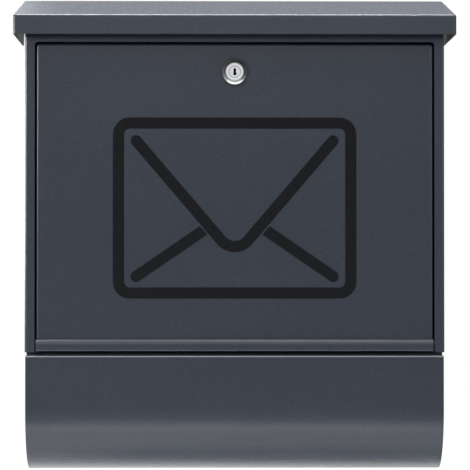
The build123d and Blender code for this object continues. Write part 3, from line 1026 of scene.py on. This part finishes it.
@dataclass
class CamLock:
    """The cam lock in the door."""

    barrel_radius: float = 8.0
    barrel_flat: float = 6.98
    thread_pitch: float = 1.0
    thread_ridge: float = 0.36
    thread_sink: float = 0.1
    thread_start: float = 0.3
    thread_end: float = 0.8
    centre_z: float = 90.5

    def build(self) -> None:
        """Dress the lock and cut its barrel's thread."""
        self.cut_thread()
        dress(CHROME, "lock_housing")
        dress(SEAL, "lock_seal")
        dress(NICKEL, "lock_plug")
        dress(BRASS, "lock_wafers")
        dress(ZINC, "lock_washer", "lock_nut", "lock_cam", "cam_washer", "cam_screw")

    def cut_thread(self) -> None:
        """Run the thread from the nut to the barrel's end, broken by the barrel's two flats."""
        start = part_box("lock_nut")[1].y + self.thread_start * MM
        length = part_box("lock_housing")[1].y - start - self.thread_end * MM
        thread = ThreadTool().bake(
            "lock_barrel_thread",
            Turns=length / (self.thread_pitch * MM),
            Radius=(self.barrel_radius - self.thread_sink) * MM,
            Length=length,
            Ridge=self.thread_ridge * MM,
            Flat=self.barrel_flat * MM,
            Place=(0.0, start, self.centre_z * MM),
            Finish=finished(CHROME),
        )
        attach(thread, Body.DOOR.value)


def hexagon_reach(half_flats: float, angle: float) -> float:
    """Tell how far a hexagon's side is from its middle.

    Args:
        half_flats: Half its width across flats.
        angle: Direction in radians, from the middle of one side.

    Returns:
        The distance, in the unit of the width.
    """
    return half_flats / cos((angle + pi / 6) % (pi / 3) - pi / 6)


@dataclass
class NewspaperHolder:
    """The trough below the cabinet and its bolts."""

    bolt_count: int = 3
    bolt_pitch: float = 130.0
    bolt_radius: float = 2.5
    bolt_steps: int = 48
    plain_shank: float = 2.4
    tip_bevel: float = 0.2
    thread_depth: float = 0.3
    thread_pitch: float = 0.8
    thread_flank: float = 0.45
    head_radius: float = 4.75
    head_height: float = 3.0
    head_round: tuple[float, float] = (1.6, 1.9)
    head_rings: int = 6
    recess_radius: float = 1.9
    recess_depth: float = 1.7
    recess_bevel: float = 0.15
    washer_clearance: float = 0.25
    washer_low_edge: float = 0.15
    washer_high_edge: float = 0.25
    nut_flats: float = 8.0
    nut_steps: int = 72
    nut_face: float = 0.95
    nut_bevel: float = 30.0
    nut_clearance: float = 0.05
    nut_mouth: float = 0.45
    nut_mouth_depth: float = 0.4

    def build(self) -> None:
        """Dress the holder and set its bolts."""
        # The holder's coat has a painted highlight along its front edge
        dress(PAINTED_HIGHLIGHT_COAT, "newspaper_holder")
        for seed, (node, mesh) in enumerate(
            (
                ("holder_screws", self.screw()),
                ("holder_washers", self.washer()),
                ("holder_nuts", self.nut()),
            )
        ):
            low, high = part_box(node)
            row = fit_row(
                mesh,
                node + "_fine",
                ZINC,
                Body.CABINET,
                "zinc_steel",
                Count=self.bolt_count,
                Start=(-self.bolt_pitch * MM * (self.bolt_count - 1) / 2, (low.y + high.y) / 2, low.z),
                Step=(self.bolt_pitch * MM, 0.0, 0.0),
                Tilt=(0.0, 0.0, 0.0),
                Spin=2 * pi if node == "holder_screws" else 0.0,
                Seed=seed,
            )
            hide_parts(node)

    def screw(self) -> bpy.types.Mesh:
        """Turn a pan head screw that points up, with a hexagon recess below and a threaded shank."""
        low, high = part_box("holder_screws")
        length = (high.z - low.z) / MM
        part = Lathe(self.bolt_steps)
        self.hexagon(part, self.recess_depth, self.recess_radius)
        self.hexagon(part, self.recess_bevel, self.recess_radius)
        self.hexagon(part, 0.0, self.recess_radius + self.recess_bevel)
        inwards, upwards = self.head_round
        for at in range(self.head_rings + 1):
            lean = radians(90 * at / self.head_rings)
            part.turn(self.head_radius - inwards * (1 - sin(lean)), upwards * (1 - cos(lean)))
        part.turn(self.head_radius, self.head_height)
        part.turn(self.bolt_radius, self.head_height)
        height = self.head_height + self.plain_shank
        root = self.bolt_radius - self.thread_depth
        while height < length - self.thread_pitch:
            part.turn(self.bolt_radius, height)
            part.turn(root, height + self.thread_flank * self.thread_pitch)
            height += self.thread_pitch
        part.turn(self.bolt_radius, height)
        part.turn(root - self.tip_bevel, length)
        part.cap()
        return part.mesh("holder_screw")

    def hexagon(self, part: Lathe, height: float, across: float) -> None:
        """Add a six-sided ring of a half width across flats at a height, in millimetres."""
        points = []
        for at in range(part.steps):
            angle = 2 * pi * at / part.steps
            reach = hexagon_reach(across, angle) * MM
            points.append((reach * cos(angle), reach * sin(angle), height * MM))
        part.ring(points)

    def washer(self) -> bpy.types.Mesh:
        """Turn a plain washer with a stamped, slightly rounded rim."""
        low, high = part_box("holder_washers")
        thick = (high.z - low.z) / MM
        rim = (high.y - low.y) / 2 / MM
        bore = self.bolt_radius + self.washer_clearance
        part = Lathe(self.bolt_steps)
        for radius, height in (
            (bore, 0.0),
            (rim - self.washer_low_edge, 0.0),
            (rim, self.washer_low_edge),
            (rim, thick - self.washer_high_edge),
            (rim - self.washer_high_edge, thick),
            (bore, thick),
        ):
            part.turn(radius, height)
        part.loop()
        return part.mesh("holder_washer")

    def nut(self) -> bpy.types.Mesh:
        """Turn a hexagon nut whose corners are bevelled at both ends and whose bore is countersunk."""
        low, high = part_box("holder_nuts")
        tall = (high.z - low.z) / MM
        flat = self.nut_flats / 2
        bore = self.bolt_radius + self.nut_clearance
        mouth = self.bolt_radius + self.nut_mouth
        part = Lathe(self.nut_steps)
        part.turn(bore, self.nut_mouth_depth)
        part.turn(mouth, 0.0)
        part.turn(self.nut_face * flat, 0.0)
        for end in (0.0, tall):
            points = []
            for at in range(part.steps):
                angle = 2 * pi * at / part.steps
                reach = hexagon_reach(flat, angle)
                drop = (reach - self.nut_face * flat) * tan(radians(self.nut_bevel))
                height = end + (drop if end == 0.0 else -drop)
                points.append((reach * cos(angle) * MM, reach * sin(angle) * MM, height * MM))
            part.ring(points)
        part.turn(self.nut_face * flat, tall)
        part.turn(mouth, tall)
        part.turn(bore, tall - self.nut_mouth_depth)
        part.loop()
        return part.mesh("holder_nut")


@dataclass(frozen=True)
class SoftBox:
    """A rectangular studio lamp: where it hangs, what it aims at, its size and its strength."""

    name: str
    place: tuple[float, float, float]
    aim: tuple[float, float, float]
    width: float
    height: float
    power: float
    colour: str = "#FFFFFF"

    def build(self) -> None:
        """Hang the lamp."""
        lamp = bpy.data.lights.new(self.name, "AREA")
        lamp.shape = "RECTANGLE"
        lamp.size, lamp.size_y = self.width, self.height
        lamp.energy = self.power
        lamp.color = linear(self.colour)[:3]
        holder = bpy.data.objects.new(self.name, lamp)
        holder.location = self.place
        towards = Vector(self.aim) - Vector(self.place)
        holder.rotation_euler = towards.to_track_quat("-Z", "Y").to_euler()
        holder.visible_camera = False
        bpy.context.scene.collection.objects.link(holder)


@dataclass
class Studio:
    """Camera, soft light, pale floor and white surround."""

    camera_place: tuple[float, float, float] = (-0.0225, -2.1472, -0.0799)
    camera_yaw: float = 0.639
    camera_pitch: float = 0.854
    focal_pixels: float = 2381.0
    frame_pixels: float = 470.0
    sensor_mm: float = 36.0
    near_clip: float = 0.01
    far_clip: float = 50.0
    floor_drop: float = 0.2
    floor_size: float = 14.0
    paper_reach: float = 0.8
    paper_edge: float = 0.6
    near_glow: float = 0.45
    far_glow: float = 1.0
    # Painted falloff of light on the floor: pale paper near the box, grey further out
    near_paper: str = "#E0E0E0"
    far_paper: str = "#7A7A7A"
    rear_level: float = 0.2
    mirror_level: float = 0.35
    backdrop_lean: float = 0.45
    # Where the mirrored backdrop fades in, towards the rear and upwards, as parts of a unit direction
    backdrop_rear: tuple[float, float] = (-0.2, 0.3)
    backdrop_height: tuple[float, float] = (0.1, 0.3)
    lamps: list[SoftBox] = field(
        default_factory=lambda: [
            SoftBox("key_left", (-1.6, -1.75, 0.28), (0, -0.1, 0), 0.6, 0.3, 22.0),
            SoftBox("fill_right", (1.6, -1.75, 0.5), (0, -0.1, 0), 1.3, 1.2, 9.8),
            SoftBox("fill_front", (0, -2.4, 0.55), (0, -0.1, 0), 1.0, 0.5, 1.3),
            SoftBox("high_front", (-0.2, -1.7, 1.5), (0, -0.1, 0), 2.4, 2.0, 17.0),
            SoftBox("top_front", (-0.1, -0.28, 1.1), (0, -0.15, 0.1), 1.2, 0.3, 6.5),
            SoftBox("top_strip", (-0.25, -0.1, 1.1), (-0.25, -0.1, 0.1), 1.1, 0.1, 24.0),
            SoftBox("top_rear", (-0.1, 0.3, 1.1), (0, -0.05, 0.1), 1.4, 0.5, 10.0),
            SoftBox("rear_left", (-0.8, 1.8, 0.8), (0, 0, 0.1), 1.0, 0.8, 1.8),
            SoftBox("rear_high", (0.9, 1.7, 1.6), (0, 0, 0), 0.8, 0.8, 3.5),
            SoftBox("side_left", (-1.45, 0.75, 0.08), (0, 0, 0.05), 1.6, 0.36, 24.0),
            SoftBox("side_right", (1.6, 0.2, 1.0), (0, 0, 0), 0.8, 0.6, 2.0),
            SoftBox("skirt_glow_left", (-0.16, 1.5, 0.26), (-0.19, -0.08, 0.11), 0.3, 0.4, 0.18),
            SoftBox("skirt_glow_right", (0.34, 1.5, 0.26), (0.19, -0.08, 0.11), 0.3, 0.4, 0.26),
            SoftBox("floor_card", (0, -0.36, -0.44), (0, -0.1, -0.2), 1.0, 0.12, 0.3),
        ]
    )

    def build(self) -> None:
        """Set up the whole studio."""
        self.place_camera()
        self.light_world()
        self.lay_floor()
        for lamp in self.lamps:
            lamp.build()
        bpy.context.scene.view_settings.view_transform = "Standard"

    def place_camera(self) -> None:
        """Put the camera where the photograph was taken from."""
        lens = bpy.data.cameras.new("photo_camera")
        lens.sensor_fit = "HORIZONTAL"
        lens.sensor_width = self.sensor_mm
        lens.lens = self.focal_pixels / self.frame_pixels * self.sensor_mm
        lens.clip_start, lens.clip_end = self.near_clip, self.far_clip
        camera = bpy.data.objects.new("photo_camera", lens)
        camera.location = self.camera_place
        camera.rotation_euler = (radians(90 + self.camera_pitch), 0.0, -radians(self.camera_yaw))
        bpy.context.scene.collection.objects.link(camera)
        bpy.context.scene.camera = camera

    def light_world(self) -> None:
        """Make the world white for the camera, with a dim backdrop behind the box for mirrors."""
        world = bpy.data.worlds.new("studio")
        world.use_nodes = True
        tree = world.node_tree
        tree.nodes.clear()
        sight = add_node(tree, "ShaderNodeLightPath")
        direction = add_node(tree, "ShaderNodeTexCoord")
        along = add_node(tree, "ShaderNodeSeparateXYZ", {0: direction.outputs["Generated"]})
        behind = add_node(
            tree,
            "ShaderNodeMapRange",
            {
                "Value": along.outputs["Y"],
                "From Min": self.backdrop_rear[0],
                "From Max": self.backdrop_rear[1],
            },
            interpolation_type="SMOOTHSTEP",
        )
        lean = add_node(
            tree,
            "ShaderNodeMath",
            {0: along.outputs["X"], 1: -self.backdrop_lean, 2: along.outputs["Z"]},
            operation="MULTIPLY_ADD",
        )
        clear = add_node(
            tree,
            "ShaderNodeMapRange",
            {
                "Value": lean.outputs[0],
                "From Min": self.backdrop_height[0],
                "From Max": self.backdrop_height[1],
            },
            interpolation_type="SMOOTHSTEP",
        )
        backdrop = add_node(
            tree,
            "ShaderNodeMath",
            {0: behind.outputs["Result"], 1: clear.outputs["Result"]},
            operation="MULTIPLY",
        )
        mirrored = add_node(
            tree,
            "ShaderNodeMath",
            {0: sight.outputs["Is Glossy Ray"], 1: sight.outputs["Is Transmission Ray"]},
            operation="MAXIMUM",
        )
        level = add_node(
            tree,
            "ShaderNodeMapRange",
            {"Value": mirrored.outputs[0], "To Min": self.rear_level, "To Max": self.mirror_level},
        )
        unseen = add_node(
            tree,
            "ShaderNodeMath",
            {0: backdrop.outputs[0], 1: level.outputs["Result"]},
            operation="MULTIPLY",
        )
        strength = add_node(
            tree,
            "ShaderNodeMix",
            {0: sight.outputs["Is Camera Ray"], 2: unseen.outputs[0], 3: 1.0},
            data_type="FLOAT",
        )
        surround = add_node(
            tree,
            "ShaderNodeBackground",
            {"Color": linear("#FFFFFF"), "Strength": strength.outputs[0]},
        )
        add_node(tree, "ShaderNodeOutputWorld", {"Surface": surround.outputs["Background"]})
        bpy.context.scene.world = world

    def lay_floor(self) -> None:
        """Lay a floor under the box with a painted pool of light: pale near it and grey further out; it
        keeps the shadow.
        """
        half = self.floor_size / 2
        height = CAD_BOX[0].z - self.floor_drop
        mesh = bpy.data.meshes.new("floor")
        signs = ((-1, -1), (1, -1), (1, 1), (-1, 1))
        mesh.from_pydata([(half * x, half * y, height) for x, y in signs], [], [(0, 1, 2, 3)])
        floor = bpy.data.objects.new("floor", mesh)
        bpy.context.scene.collection.objects.link(floor)
        material, tree = new_material("floor_paper")
        sight = add_node(tree, "ShaderNodeLightPath")
        place = add_node(tree, "ShaderNodeTexCoord").outputs["Object"]
        spot = add_node(
            tree,
            "ShaderNodeMapping",
            {"Vector": place, "Scale": (1 / self.paper_reach, 1 / self.paper_reach, 0.0)},
        )
        nearness = add_node(
            tree,
            "ShaderNodeTexGradient",
            {0: spot.outputs[0]},
            gradient_type="SPHERICAL",
        )
        # Paper tone fades from the near to the far colour: a painted pool of light round the box
        tone = add_node(tree, "ShaderNodeValToRGB", {"Fac": nearness.outputs["Fac"]})
        tone.color_ramp.interpolation = "EASE"
        far, near = tone.color_ramp.elements
        far.color = linear(self.far_paper)
        near.position, near.color = self.paper_edge, linear(self.near_paper)
        paper = add_node(tree, "ShaderNodeBsdfDiffuse", {"Color": tone.outputs["Color"]})
        lift = add_node(
            tree,
            "ShaderNodeMapRange",
            {
                "Value": nearness.outputs["Fac"],
                "From Max": self.paper_edge,
                "To Min": self.far_glow,
                "To Max": self.near_glow,
            },
        )
        shown = add_node(
            tree,
            "ShaderNodeMath",
            {0: sight.outputs["Is Camera Ray"], 1: lift.outputs["Result"]},
            operation="MULTIPLY",
        )
        glow = add_node(tree, "ShaderNodeEmission", {"Strength": shown.outputs[0]})
        both = add_node(tree, "ShaderNodeAddShader", {0: paper.outputs[0], 1: glow.outputs[0]})
        add_node(tree, "ShaderNodeOutputMaterial", {"Surface": both.outputs[0]})
        mesh.materials.append(material)


def main() -> None:
    """Dress each sub-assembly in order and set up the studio."""
    logging.basicConfig(level=logging.INFO, format="%(name)s: %(message)s")
    for part in (Cabinet(), Lid(), Door(), CamLock(), NewspaperHolder(), Studio()):
        part.build()
        LOG.info("%s done", type(part).__name__)


if __name__ == "__main__":
    main()
